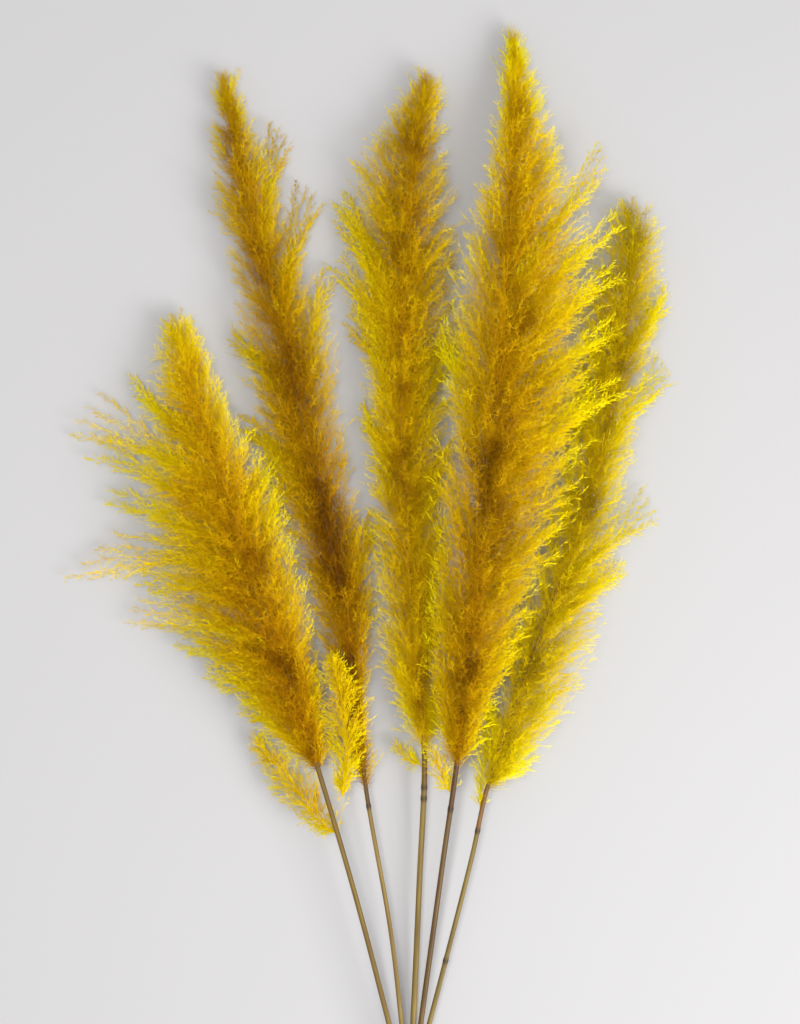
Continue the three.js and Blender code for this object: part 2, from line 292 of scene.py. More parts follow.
def dried_straw(name, straw, upper_straw):
    """Dried grass culm, smooth and a little waxy: it shows fine streaks along it, pale and dark stains and
    dark rings, with a low sheen."""
    material = new_material(name)
    tree = material.node_tree
    grain = node(tree, "ShaderNodeAttribute", {"attribute_name": "grain"})
    patterns = []
    for size in (STREAK_SIZE, STAIN_SIZE):
        scale = [1 / (each * MM) for each in size]
        place = node(tree, "ShaderNodeMapping", {"Scale": scale}, {"Vector": grain.outputs["Vector"]})
        noise = {"Scale": 1.0, "Detail": 3.0}
        patterns.append(node(tree, "ShaderNodeTexNoise", noise, {"Vector": place.outputs[0]}))
    fibre, stain = patterns
    streaks = node(
        tree, "ShaderNodeMath", {"operation": "MULTIPLY_ADD", 1: 0.6},
        {0: fibre.outputs[0], 2: stain.outputs[0]},
    )
    # Both noises together lie mostly between the two places of each ramp.
    tones = []
    for dark, pale in (straw, upper_straw):
        ramp = node(tree, "ShaderNodeValToRGB", links={"Fac": streaks.outputs[0]})
        ramp.color_ramp.elements[0].position = 0.62
        ramp.color_ramp.elements[0].color = linear(dark)
        ramp.color_ramp.elements[1].position = 0.98
        ramp.color_ramp.elements[1].color = linear(pale)
        tones.append(ramp.outputs["Color"])
    part = node(tree, "ShaderNodeAttribute", {"attribute_name": "part"})
    parts = node(tree, "ShaderNodeSeparateXYZ", links={0: part.outputs["Vector"]})
    above = node(
        tree, "ShaderNodeMix", {"data_type": "RGBA"},
        {0: parts.outputs[0], 6: tones[0], 7: tones[1]},
    )
    ringed = node(
        tree, "ShaderNodeMix", {"data_type": "RGBA", 7: linear(RING_COLOUR)},
        {0: parts.outputs[1], 6: above.outputs[2]},
    )
    whole = node(
        tree, "ShaderNodeMix", {"data_type": "RGBA", 7: linear(PITH_COLOUR)},
        {0: parts.outputs[2], 6: ringed.outputs[2]},
    )
    bump = node(
        tree, "ShaderNodeBump", {"Strength": 0.3, "Distance": STREAK_RELIEF * MM},
        {"Height": fibre.outputs[0]},
    )
    surface(
        material,
        {"Roughness": 0.5, "Specular IOR Level": 0.35},
        {"Base Color": whole.outputs[2], "Normal": bump.outputs[0]},
    )
    return material


def finish_piece(piece, name, material, replaced):
    """Names a finished piece and ties it to the frame."""
    piece.name = name
    piece.data.name = name
    piece.data.materials.clear()
    piece.data.materials.append(material)
    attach(piece, "root")
    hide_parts(replaced)


height = 0
for stem in sorted(STEMS, key=lambda each: each["level"]):
    crossing = np.array([*CROSSING, height + stem["radius"]])
    height += 2 * stem["radius"] + 2 * CROSSING_GAP
    base = np.array(stem["rachis"][0], float)
    foot = base + (crossing - base) * (base[1] - CUT_Y) / (base[1] - crossing[1])
    foot[2] = max(foot[2], stem["radius"])
    aside, waist_y = stem["waist"]
    waist = base + (crossing - base) * (base[1] - waist_y) / (base[1] - crossing[1]) + (aside, 0, 0)
    stem["rachis_route"] = smooth_route(stem["rachis"]) * MM + plan_shift
    stem["stalk_route"] = smooth_route([foot, crossing, waist, *stem["rachis"]]) * MM + plan_shift
    stem["stalk_route"][:, 2] = np.maximum(stem["stalk_route"][:, 2], stem["radius"] * MM)

for number, stem in enumerate(STEMS, 1):
    route = stem["stalk_route"]
    length = route_length(route)
    plume_length = route_length(stem["rachis_route"])
    plume_start = length - plume_length
    end = plume_start + RACHIS_END * plume_length
    route_y = (route[:, 1] - plan_shift[1]) / MM
    ring_places = [np.interp(y, route_y, np.linspace(0, length, len(route))) for y in stem["rings"]]
    stations = set(np.arange(STALK_STEP * MM, end, STALK_STEP * MM))
    near_ring = np.arange(-RING_SECTIONS, RING_SECTIONS + 1) * RING_HALF * MM / 3
    stations |= {p + off for p in ring_places for off in near_ring}
    stations = sorted(stations | {end})

    def radius_at(z):
        """The radius of the culm or the rachis at this height, in metres."""
        if z < plume_start:
            radius = stem["radius"] * (1 - (1 - STALK_TAPER) * z / plume_start)
        else:
            share = (z - plume_start) / plume_length
            radius = stem["radius"] * STALK_TAPER * (1 - share) + RACHIS_TIP_RADIUS * share
        rings = sum(math.exp(-((z - p) / RING_HALF / MM) ** 2) for p in ring_places)
        return (radius + RING_HEIGHT * rings) * MM

    # The culm is drawn up straight along Z from a disc, section by section, and then bent along its route.
    bpy.ops.object.select_all(action="DESELECT")
    bpy.ops.mesh.primitive_circle_add(vertices=STALK_SIDES, radius=radius_at(0), fill_type="NGON")
    stalk = bpy.context.object
    bpy.ops.object.mode_set(mode="EDIT")
    bpy.ops.mesh.select_mode(type="FACE")
    bpy.ops.mesh.select_all(action="SELECT")
    here = 0
    for z in stations:
        bpy.ops.mesh.extrude_region_move(TRANSFORM_OT_translate={"value": (0, 0, z - here)})
        scale = radius_at(z) / radius_at(here)
        bpy.ops.transform.resize(value=(scale, scale, 1), center_override=(0, 0, z))
        here = z
    bpy.ops.mesh.select_all(action="SELECT")
    bpy.ops.mesh.normals_make_consistent(inside=False)
    bpy.ops.mesh.select_all(action="DESELECT")
    bpy.ops.object.mode_set(mode="OBJECT")
    for face in stalk.data.polygons:
        face.select = face.center.z < 1e-6
    bpy.ops.object.mode_set(mode="EDIT")
    bpy.ops.mesh.inset(thickness=WALL_SHARE * stem["radius"] * MM)
    bpy.ops.transform.translate(value=(0, 0, PITH_DEPTH * MM))
    bpy.ops.mesh.poke()
    bpy.ops.object.mode_set(mode="OBJECT")
    straight = np.zeros(len(stalk.data.vertices) * 3)
    stalk.data.vertices.foreach_get("co", straight)
    straight = straight.reshape(-1, 3)
    z = straight[:, 2]
    upper = np.clip((z - ring_places[-1]) / MM, 0, 1)
    dark = sum(np.exp(-((z - p) / (RING_STAIN * RING_HALF) / MM) ** 2) for p in ring_places)
    inside_wall = np.hypot(straight[:, 0], straight[:, 1]) < (1 - 0.75 * WALL_SHARE) * stem["radius"] * MM
    pith = inside_wall & (z < 2 * PITH_DEPTH * MM)
    # The grain follows the culm as it stands straight. The parts are its upper part, the dark rings and
    # the pith.
    parts = np.stack([upper, RING_DARKNESS * dark, pith], 1)
    for name, values in (("grain", straight), ("part", parts)):
        attribute = stalk.data.attributes.new(name, "FLOAT_VECTOR", "POINT")
        attribute.data.foreach_set("vector", values.astype(np.float32).ravel())

    line = bpy.data.curves.new("stalk_route", "CURVE")
    line.dimensions = "3D"
    spline = line.splines.new("POLY")
    spline.points.add(len(route) - 1)
    spline.points.foreach_set("co", np.hstack([route, np.ones((len(route), 1))]).ravel())
    guide = bpy.data.objects.new("stalk_route", line)
    bpy.context.scene.collection.objects.link(guide)
    bend_to = stalk.modifiers.new("bend_to_route", "CURVE")
    bend_to.object = guide
    bend_to.deform_axis = "POS_Z"
    bpy.ops.object.modifier_apply(modifier="bend_to_route")
    bpy.data.objects.remove(guide)
    bpy.ops.object.shade_smooth_by_angle(angle=math.radians(SHARP_ANGLE))
    straw = dried_straw(f"dried_straw_{number}", stem["straw"], stem["upper_straw"])
    slot = "straw_brown" if number in (3, 4) else "straw_tan"
    finish_piece(stalk, f"stalk_{number}_culm", straw, f"stalk_{number}")


# ---- The spikelet and the silky hair -------------------------------------------------------------
# The two smallest things in a plume: a papery spikelet, 3 to 5 mm long, and a hair that grows from its
# foot, 6 to 12 mm long. Each is modelled once, along Z with a length and a half-width of 1, and copied.
SPIKELET_PEAK = 0.35              # the share of its length where a spikelet is widest


def template(peak):
    """A three-sided body that is widest at peak, a share of its length, and ends in a point."""
    bpy.ops.object.select_all(action="DESELECT")
    bpy.ops.mesh.primitive_cone_add(
        vertices=3, radius1=1, radius2=0, depth=1 - peak, end_fill_type="NGON",
    )
    shape = bpy.context.object
    bpy.ops.object.mode_set(mode="EDIT")
    bpy.ops.mesh.select_mode(type="FACE")
    bpy.ops.mesh.select_all(action="SELECT")
    bpy.ops.transform.translate(value=(0, 0, (1 + peak) / 2))
    if peak:
        bpy.ops.mesh.select_all(action="DESELECT")
        bpy.ops.object.mode_set(mode="OBJECT")
        for face in shape.data.polygons:
            face.select = face.normal.z < -0.9
        bpy.ops.object.mode_set(mode="EDIT")
        bpy.ops.mesh.poke(offset=peak)
    bpy.ops.mesh.select_all(action="SELECT")
    bpy.ops.mesh.quads_convert_to_tris()
    bpy.ops.object.mode_set(mode="OBJECT")
    points = np.array([v.co for v in shape.data.vertices])
    faces = np.array([list(p.vertices) for p in shape.data.polygons])
    bpy.data.objects.remove(shape)
    return points, faces


SPIKELET = template(SPIKELET_PEAK)
HAIR = template(0)


def across(way, turn):
    """A direction square to each way, turned round it."""
    side = unit(np.cross(way, (0.31, 0.17, 0.94)))
    return side * np.cos(turn)[..., None] + np.cross(way, side) * np.sin(turn)[..., None]


def leaning(way, lean, turn):
    """A direction that leans off each way by an angle."""
    return way * np.cos(lean)[..., None] + across(way, turn) * np.sin(lean)[..., None]


def copies(shape, foot, way, length, half, turn):
    """A copy of a shape at each foot. It gives the points and faces, and for each point its share of the
    length, where it stands round the shape, and which copy it is on."""
    points, faces = shape
    side = across(way, turn)
    other = np.cross(way, side)
    placed = (
        foot[:, None]
        + side[:, None] * (points[:, 0] * half[:, None])[..., None]
        + other[:, None] * (points[:, 1] * half[:, None])[..., None]
        + way[:, None] * (points[:, 2] * length[:, None])[..., None]
    )
    count = len(foot)
    placed_faces = faces[None] + (np.arange(count) * len(points))[:, None, None]
    along = np.tile(points[:, 2], count)
    round_it = np.tile(points[:, 0], count)
    owner = np.repeat(np.arange(count), len(points))
    return placed.reshape(-1, 3), placed_faces.reshape(-1, 3), along, round_it, owner


def tubes(lines, half):
    """A three-sided stem along each line of points, which thins to a point. It gives what copies does."""
    count, length = lines.shape[:2]
    way = unit(np.gradient(lines, axis=1))
    side = across(way[:, :1], np.zeros((count, 1)))
    side = unit(side - way * (side * way).sum(-1, keepdims=True))
    other = np.cross(way, side)
    share = np.linspace(0, 1, length)
    rings = length - 1
    width = half[:, None] * (1 - 0.6 * share[:rings])
    corners = []
    for angle in (0, 2 * math.pi / 3, 4 * math.pi / 3):
        out = side[:, :rings] * math.cos(angle) + other[:, :rings] * math.sin(angle)
        corners.append(lines[:, :rings] + out * width[..., None])
    points = np.concatenate([np.stack(corners, 2).reshape(count, rings * 3, 3), lines[:, -1:]], 1)
    faces = [(0, 2, 1)]
    for ring in range(rings - 1):
        for k in range(3):
            a, b = 3 * ring + k, 3 * ring + (k + 1) % 3
            faces += [(a, b, b + 3), (a, b + 3, a + 3)]
    last = 3 * (rings - 1)
    faces += [(last + k, last + (k + 1) % 3, 3 * rings) for k in range(3)]
    per_stem = 3 * rings + 1
    faces = np.array(faces)[None] + (np.arange(count) * per_stem)[:, None, None]
    along = np.tile(np.append(np.repeat(share[:rings], 3), 1), count)
    round_it = np.tile(np.append(np.tile([1, -0.5, -0.5], rings), 0), count)
    owner = np.repeat(np.arange(count), per_stem)
    return points.reshape(-1, 3), faces.reshape(-1, 3), along, round_it, owner


# ---- The plumes ----------------------------------------------------------------------------------
# Each plume is a flower head 44 to 68 cm long: some hundreds of thin branches leave the rachis, lean up
# and outwards, and carry branchlets hung with spikelets and silky hair. The dye has taken unevenly, in
# patches. The hair is also painted browner near the rachis, as painted shade of the dense inside, and
# golden to bright yellow at the edges, as painted light shining through the thin hair.

# Lengths are in mm.
LOFT = 0.72                       # a plume's half-depth, as a share of its mean half-width
BRANCH_AREA = 79                  # mm2 of plume, seen from above, for one branch
TABLE_GAP = 0.4                   # the least height of the hair over the table
PRESSED = 3                       # hair that would lie lower than this is pressed together on the table
COLOURS = {
    "plume_gold": ("502a02", "965c02", "d29c04", "f4ce06", "fadc18"),
    "plume_amber": ("442202", "804c02", "b88402", "deb406", "ecc820"),
    "plume_honey": ("563402", "a06c02", "d0a204", "f2cc08", "f8da20"),
    "plume_yellow": ("502e02", "9c6802", "d8a604", "f8d606", "fee018"),
    "plume_olive": ("4c3a02", "9c7802", "d8b404", "f8d808", "fce020"),
}
PLUME_SLOTS = list(COLOURS)
GREEN_CAST = "d0ea7c"             # what the greenest hair's colour is multiplied by
BRANCH_HALF = 0.3                 # half of a branch's thickness where it leaves the rachis
BRANCH_FEET = (18, 34)            # a branch leaves the rachis at least this far below its tip
WIDEN = 1.07                      # the branches reach this much past the soft outline
GOLDEN_TURN = 2.39996             # radians round the rachis from one branch to the next
BRANCHLET_HALF = 0.15
BRANCHLET_LENGTHS = (8, 30)       # at a branch's tip and at its foot
BRANCHLET_SPACING = 13            # along a branch
BARE_SHARE = 0.1                  # how much of a branch is bare at its foot
SPIKELET_LENGTHS = (3.2, 5.0)
SPIKELET_HALVES = (0.30, 0.46)    # half of a spikelet's width inside the plume and at its edge
SPIKELET_SPACING = 3.3            # along a branchlet
HAIR_LENGTHS = (6, 12)
HAIR_HALVES = (0.16, 0.24)        # coarser than real hair, which is too fine to show
HAIRS = 1.8                       # about how many hairs grow at a spikelet
DOWN_LENGTHS = (9, 19)
DOWN_SPACING = 1.25               # along a branch
DOWN_SPREAD = 2.6                 # how far off its branch the down may stand
PATCH_SIZES = (38, 17)            # of the patches where the dye is darker or paler, and where the painted shade near the rachis is deepest
PLUME_SHADING = 0.75              # how far a hair's shading follows the plume's own roundness
SPRAY_SPACING = 2.2               # from one branchlet to the next on a long spray
SPRAY_FOOT = 0.11                 # how far below its tip a long spray starts, as a share of the rachis
SPRAY_DROOP = 22                  # how far a long spray's tip droops below the rachis
SPRAY_LEAST_HEIGHT = 9            # of its tip over the table
# A long spray has shorter ones beside it: how far each reaches, as a share, and how far ahead it ends.
SPRAY_COMPANIONS = [(1.0, 0), (0.6, 10), (0.45, -10)]


def dyed_silk(name, colours):
    """Dyed plume hair and husk: matt and soft, each hair of one colour from brown through gold to yellow.
    A place on the piece's map runs across from brown to yellow, and up from warm to green. The brown end
    also serves as painted shade inside the plume, and the yellow end as painted light at its edges."""
    material = new_material(name)
    tree = material.node_tree
    place = node(tree, "ShaderNodeUVMap", {"uv_map": "OFBake"})
    parts = node(tree, "ShaderNodeSeparateXYZ", links={0: place.outputs["UV"]})
    ramp = node(tree, "ShaderNodeValToRGB", links={"Fac": parts.outputs[0]})
    steps = ramp.color_ramp.elements
    for k in range(len(colours) - 2):
        steps.new((k + 1) / (len(colours) - 1))
    for k, colour in enumerate(colours):
        steps[k].color = linear(colour)
    green = node(
        tree, "ShaderNodeMix", {"data_type": "RGBA", "blend_type": "MULTIPLY", 7: linear(GREEN_CAST)},
        {0: parts.outputs[1], 6: ramp.outputs["Color"]},
    )
    surface(
        material,
        {"Roughness": 0.7, "Specular IOR Level": 0.02},
        {"Base Color": green.outputs[2]},
    )
    return material


materials = {}
for slot, colours in COLOURS.items():
    materials[slot] = dyed_silk(slot.replace("plume", "dyed_silk"), colours)


def bend(arc, share):
    """The place at each share of an arc, which leaves its start towards its middle and ends at its end."""
    start, middle, end = arc
    share = share[..., None]
    return (1 - share) ** 2 * start + 2 * (1 - share) * share * middle + share ** 2 * end


def way_along(arc, share):
    """The direction of each arc at its share."""
    start, middle, end = arc
    share = share[..., None]
    return unit((1 - share) * (middle - start) + share * (end - middle))


def pick(arc, which):
    """Some of the arcs, or some of them several times."""
    return [points[which] for points in arc]


def blotches(points, seed, size):
    """Soft, uneven patches of about this size, from -1 to 1."""
    rng = np.random.default_rng(seed)
    total = 0
    for _ in range(6):
        way = unit(rng.normal(size=3) * (1, 1, 0.5)) * rng.uniform(0.3, 1.7) * math.pi / size
        total = total + np.sin(points @ way + rng.uniform(0, 2 * math.pi))
    return total / 3


def half_width(widths, share):
    """The plume's half-width at each share of its length, in metres."""
    return np.interp(share, np.linspace(0, 1, len(widths)), widths) * MM


def grow_branches(rng, route, left, right, count, lean, feet):
    """The arcs of a plume's branches, spread along and around its rachis and out to its edge."""
    # The share of the rachis that each tip is level with, and its turn round the rachis. The turns crowd
    # to the two sides, because a plume is wider than it is deep.
    length = route_length(route)
    share = 0.03 + 0.97 * (np.arange(count) + rng.random(count)) / count
    turn = np.arange(count) * GOLDEN_TURN + rng.normal(0, 0.3, count)
    turn = turn - 0.22 * np.sin(2 * turn)
    # The wider of the two sides gets more of the branches.
    widest = np.maximum(share, 0.06)
    wide_left, wide_right = half_width(left, widest), half_width(right, widest)
    goes_right = rng.random(count) * (wide_left + wide_right) < wide_right
    to_right = np.abs(np.cos(turn)) * np.where(goes_right, 1, -1)
    upward = np.sin(turn)
    wide = np.where(goes_right, wide_right, wide_left)
    deep = LOFT * (half_width(left, share) + half_width(right, share)) / 2
    place, way = on_route(route, share)
    # A branch on the underside ends above the table.
    deep = np.where(upward < 0, np.minimum(deep, np.maximum(place[:, 2] - 3 * MM, 2 * MM)), deep)
    side = unit(np.cross(way, (0, 0, 1)))
    rise = np.cross(side, way)
    # Some branches end inside the plume and fill it.
    fill = rng.uniform(0.3, 1.05, count) ** 0.5
    wide = wide * fill * WIDEN
    deep = deep * fill
    reach = np.hypot(wide * to_right, deep * upward)
    run = reach * np.where(to_right > 0, lean[1], lean[0]) + rng.uniform(*feet, count) * MM
    start_share = np.maximum(share - run / length, 0.0)
    start, _ = on_route(route, start_share)
    out = side * (wide * to_right)[:, None] + rise * (deep * 0.92 * upward)[:, None]
    end = place + out
    middle = start + (place - start) * 0.6 + out * rng.uniform(0.18, 0.42, count)[:, None]
    return [start, middle, end]


def long_spray(route, wide, at, side, reach, forward):
    """The arc of one long branch, from the rachis to a tip well past the plume's edge."""
    (centre,), (way,) = on_route(route, np.array([at]))
    (start,), _ = on_route(route, np.array([max(at - SPRAY_FOOT, 0)]))
    out = side * unit(np.cross(way, (0, 0, 1)))
    edge = half_width(wide, at)
    tip = centre + out * (edge + reach * MM) + way * forward * MM
    tip[2] = max(centre[2] - SPRAY_DROOP * MM, SPRAY_LEAST_HEIGHT * MM)
    return np.array([start, centre + out * 0.5 * edge, tip])


def grow_branchlets(rng, branches, spacing, lengths):
    """The arcs of the branchlets along some branches, and which branch each is on."""
    shortest, longest = np.array(lengths) * MM
    length = np.linalg.norm(branches[2] - branches[0], axis=1)
    counts = np.maximum(3, (length * (1 - BARE_SHARE) / (spacing * MM)).astype(int))
    owner = np.repeat(np.arange(len(counts)), counts)
    order = np.arange(counts.sum()) - np.repeat(np.cumsum(counts) - counts, counts)
    share = BARE_SHARE + (1 - BARE_SHARE) * (order + rng.random(len(owner))) / counts[owner]
    branch = pick(branches, owner)
    root = bend(branch, share)
    way = way_along(branch, share)
    reach = (shortest + (longest - shortest) * (1 - share) ** 0.8) * rng.uniform(0.65, 1.2, len(owner))
    lean = rng.uniform(10, 34, len(owner)) + rng.uniform(0, 50, len(owner)) * (1 - share)
    off = leaning(way, np.radians(lean), rng.uniform(0, 2 * math.pi, len(owner)))
    onward = unit(off + way * rng.uniform(0.1, 1.0, len(owner))[:, None] + np.array([0, 0, -0.12]))
    knee = root + off * (reach * 0.5)[:, None]
    return [root, knee, knee + onward * (reach * 0.5)[:, None]], owner


def hang(rng, branchlets):
    """Where spikelets stand along branchlets: their places, directions and branchlets."""
    root, knee, tip = branchlets
    length = np.linalg.norm(knee - root, axis=1) + np.linalg.norm(tip - knee, axis=1)
    counts = np.maximum(1, np.round(length / (SPIKELET_SPACING * MM)).astype(int))
    owner = np.repeat(np.arange(len(counts)), counts)
    order = np.arange(counts.sum()) - np.repeat(np.cumsum(counts) - counts, counts)
    share = 0.2 + 0.8 * (order + rng.uniform(0.3, 1, len(owner))) / counts[owner]
    arc = pick(branchlets, owner)
    lean = np.radians(rng.uniform(8, 44, len(owner)))
    way = leaning(way_along(arc, share), lean, rng.uniform(0, 2 * math.pi, len(owner)))
    return bend(arc, share), way, owner


def mesh_piece(name, parts, tone, tint, route):
    """One mesh of shapes, each of one tone and tint and a little paler towards its tip. Fine hair scatters
    light as the whole plume does, so its shading leans upwards and out from the plume's middle."""
    points, faces, along, round_it, owner = parts
    # The lower a point would lie, the more it is raised, so that a hair gets thin but never flat.
    low = np.maximum(PRESSED * MM - points[:, 2], 0)
    room = (PRESSED - TABLE_GAP) * MM
    points[:, 2] += low - low * room / (low + room)
    mesh = bpy.data.meshes.new(name)
    mesh.vertices.add(len(points))
    mesh.vertices.foreach_set("co", points.astype(np.float32).ravel())
    mesh.loops.add(faces.size)
    mesh.loops.foreach_set("vertex_index", faces.astype(np.int32).ravel())
    mesh.polygons.add(len(faces))
    mesh.polygons.foreach_set("loop_start", np.arange(0, faces.size, 3, dtype=np.int32))
    mesh.polygons.foreach_set("loop_total", np.full(len(faces), 3, np.int32))
    mesh.update(calc_edges=True)
    mesh.polygons.foreach_set("use_smooth", np.ones(len(faces), bool))
    u = np.clip(tone[owner], 0.06, 0.93) + 0.08 * (along - 0.5) + 0.01 * round_it
    v = np.clip(tint[owner], 0.06, 0.93) + 0.02 * round_it + 0.012 * along
    places = np.stack([u, v], 1)[faces.ravel()]
    mesh.uv_layers.new(name="OFBake").data.foreach_set("uv", places.astype(np.float32).ravel())
    normals = np.zeros(points.size)
    mesh.vertex_normals.foreach_get("vector", normals)
    share = np.interp(points[:, 1], route[:, 1], np.linspace(0, 1, len(route)))
    outward = unit(unit(points - on_route(route, share)[0]) * (0.6, 0.6, 0.4) + (0, 0, 1))
    normals = unit(normals.reshape(-1, 3) * (1 - PLUME_SHADING) + outward * PLUME_SHADING)
    mesh.normals_split_custom_set_from_vertices(normals.astype(np.float32))
    piece = bpy.data.objects.new(name, mesh)
    bpy.context.scene.collection.objects.link(piece)
    return piece


def edge_share(points, route, left, right):
    """How far out in its plume each point is, as seen from above: 0 on the rachis and 1 at the edge."""
    share = np.interp(points[:, 1], route[:, 1], np.linspace(0, 1, len(route)))
    place, way = on_route(route, share)
    side = unit(np.cross(way, (0, 0, 1)))
    off = ((points - place) * side).sum(1)
    wide = np.where(off > 0, half_width(right, share), half_width(left, share))
    out = np.clip(np.abs(off) / np.maximum(wide, 4 * MM), 0, 1.2)
    # The very tip of the plume is counted as lying further out.
    return np.maximum(out, 0.4 * np.clip((share - 0.84) / 0.12, 0, 1))


def dye_and_painted_light(rng, points, place_of, branch_tone, seed):
    """Tone and tint at some points: browner in patches of uneven dye, browner inside as painted shade, and
    brighter towards the edge as painted light.
    """
    out, glow = place_of(points)
    wide, narrow = PATCH_SIZES
    patch = 0.8 * blotches(points, seed, wide * MM) + 0.7 * blotches(points, seed + 1, narrow * MM)
    # Painted shade and light: near the rachis the hair is darkened, most in the patches, as if the dense
    # plume shaded it, and the out term brightens it towards the edge as painted light.
    painted_core_shade = np.clip(1 - out / 0.85, 0, 1) ** 0.8
    tone = 0.41 + 0.39 * out ** 1.1 - 0.28 * painted_core_shade * np.clip(patch + 0.1, 0, 1.1) + 0.06 * patch
    tone = tone + glow + branch_tone + rng.normal(0, 0.03, len(points))
    tint = 0.24 + 0.24 * out + 0.10 * patch + rng.normal(0, 0.06, len(points))
    return tone, tint


def make_fluff(name, slot, seed, route, branches, place_of, spacing, lengths, hairs):
    """The branches, spikelets and hair of one plume or branch, as pieces that stand for one node. place_of
    gives how far out each point is and its glow, and lengths are those of the branchlets."""
    rng = np.random.default_rng(seed)
    count = len(branches[0])
    tone_of_branch = rng.normal(0, 0.04, count)
    branchlets, owner = grow_branchlets(rng, branches, spacing, lengths)
    tone_of_branchlet = tone_of_branch[owner] + rng.normal(0, 0.03, len(owner))

    lines = bend([p[:, None] for p in branches], np.tile(np.linspace(0, 1, 9), (count, 1)))
    twigs = bend([p[:, None] for p in branchlets], np.tile(np.linspace(0, 1, 3), (len(owner), 1)))
    stems = [
        tubes(lines, np.full(count, BRANCH_HALF * MM)),
        tubes(twigs, np.full(len(owner), BRANCHLET_HALF * MM)),
    ]
    middles = np.concatenate([lines[:, 4], twigs[:, 1]])
    tone, tint = dye_and_painted_light(rng, middles, place_of, np.concatenate([tone_of_branch, tone_of_branchlet]), seed)
    # The branchlets' points and shapes are counted on from those of the branches.
    joined = [np.concatenate(pair) for pair in zip(*stems)]
    joined[1][len(stems[0][1]):] += len(stems[0][0])
    joined[4][len(stems[0][4]):] += count
    pieces = [mesh_piece(f"{name}_branches", joined, tone - 0.06, tint, route)]

    foot, way, twig = hang(rng, branchlets)
    many = len(foot)
    tone, tint = dye_and_painted_light(rng, foot, place_of, tone_of_branchlet[twig], seed)
    out = place_of(foot)[0]
    inner, outer = SPIKELET_HALVES
    plump = (inner + (outer - inner) * np.clip(out, 0, 1) ** 2) * rng.uniform(0.8, 1.2, many) * MM
    husks = copies(
        SPIKELET, foot, way, rng.uniform(*SPIKELET_LENGTHS, many) * MM, plump,
        rng.uniform(0, 2 * math.pi, many),
    )
    husk_tone = tone - 0.02 + rng.normal(0, 0.08, many)
    pieces.append(mesh_piece(f"{name}_spikelets", husks, husk_tone, tint, route))

    # More hairs grow inside the plume than at its edge, where the spikelets show.
    each = (hairs * (1.6 - 1.3 * np.clip(out, 0, 1)) + rng.random(many)).astype(int)
    which = np.repeat(np.arange(many), each)
    count = len(which)
    lean = rng.uniform(10, 50, count) + rng.uniform(0, 60, count) * np.clip(1 - out[which], 0, 1)
    hair_way = leaning(way[which], np.radians(lean), rng.uniform(0, 2 * math.pi, count))
    hair_way = unit(hair_way + np.array([0, 0, -0.05]))
    silk = copies(
        HAIR, foot[which], hair_way, rng.uniform(*HAIR_LENGTHS, count) * MM,
        rng.uniform(*HAIR_HALVES, count) * MM, rng.uniform(0, 2 * math.pi, count),
    )
    silk_tone = tone[which] + rng.normal(0.03, 0.03, count)
    pieces.append(mesh_piece(f"{name}_silk", silk, silk_tone, tint[which], route))
    for piece in pieces:
        finish_piece(piece, piece.name, materials[slot], name)


def make_down(name, slot, seed, route, branches, place_of):
    """The longer hair that fills a plume along its branches."""
    rng = np.random.default_rng(seed + 50)
    length = np.linalg.norm(branches[2] - branches[0], axis=1)
    counts = (length / (DOWN_SPACING * MM)).astype(int)
    owner = np.repeat(np.arange(len(counts)), counts)
    count = len(owner)
    share = rng.random(count) ** 0.9
    arc = pick(branches, owner)
    foot = bend(arc, share) + rng.normal(0, DOWN_SPREAD * MM, (count, 3)) * (1.2 - share)[:, None]
    out = place_of(foot)[0]
    lean = rng.uniform(12, 50, count) + rng.uniform(0, 55, count) * np.clip(1 - out, 0, 1)
    way = leaning(way_along(arc, share), np.radians(lean), rng.uniform(0, 2 * math.pi, count))
    kept = rng.random(count) < np.clip((1.1 - out) / 0.35, 0.06, 1)
    foot, way, share, out = foot[kept], way[kept], share[kept], out[kept]
    count = len(foot)
    tone, tint = dye_and_painted_light(rng, foot, place_of, rng.normal(-0.04, 0.03, count), seed)
    down = copies(
        HAIR, foot, way, rng.uniform(*DOWN_LENGTHS, count) * MM * (1.15 - 0.5 * share),
        rng.uniform(*HAIR_HALVES, count) * MM, rng.uniform(0, 2 * math.pi, count),
    )
    piece = mesh_piece(f"{name}_down", down, tone, tint, route)
    finish_piece(piece, piece.name, materials[slot], name)


for number, stem in enumerate(STEMS, 1):
    route = stem["rachis_route"]
    mean_width = np.mean(stem["left"]) + np.mean(stem["right"])
    count = int(route_length(route) / MM * mean_width / BRANCH_AREA)
    rng = np.random.default_rng(100 + number)
    branches = grow_branches(rng, route, stem["left"], stem["right"], count, stem["lean"], BRANCH_FEET)
    widths = {-1: stem["left"], 1: stem["right"]}
    sprays = [
        long_spray(route, widths[side], at, side, reach * share, forward + ahead)
        for at, side, reach, forward in stem["sprays"]
        for share, ahead in SPRAY_COMPANIONS
    ]
    branches = [np.concatenate([some, others]) for some, others in zip(branches, np.stack(sprays, 1))]
    spacing = np.append(np.full(count, BRANCHLET_SPACING), np.full(len(sprays), SPRAY_SPACING))

    def place_of(points, stem=stem, route=route):
        """How far out each point is in the plume, and how much paler its colour is there."""
        share = np.interp(points[:, 1], route[:, 1], np.linspace(0, 1, len(route)))
        glow = np.interp(share, (0, 1), stem["glow"])
        return edge_share(points, route, stem["left"], stem["right"]), glow

    slot = PLUME_SLOTS[number - 1]
    name = f"plume_{number}"
    make_fluff(name, slot, 10 * number, route, branches, place_of, spacing, BRANCHLET_LENGTHS, HAIRS)
    make_down(name, slot, 10 * number, route, branches, place_of)


# ---- The low branches ----------------------------------------------------------------------------
# Five branches that leave their stalks below the plumes and stand apart from them: each is a small plume
# of spikelets and hair on a thread-thin stem, which grew out of the culm.

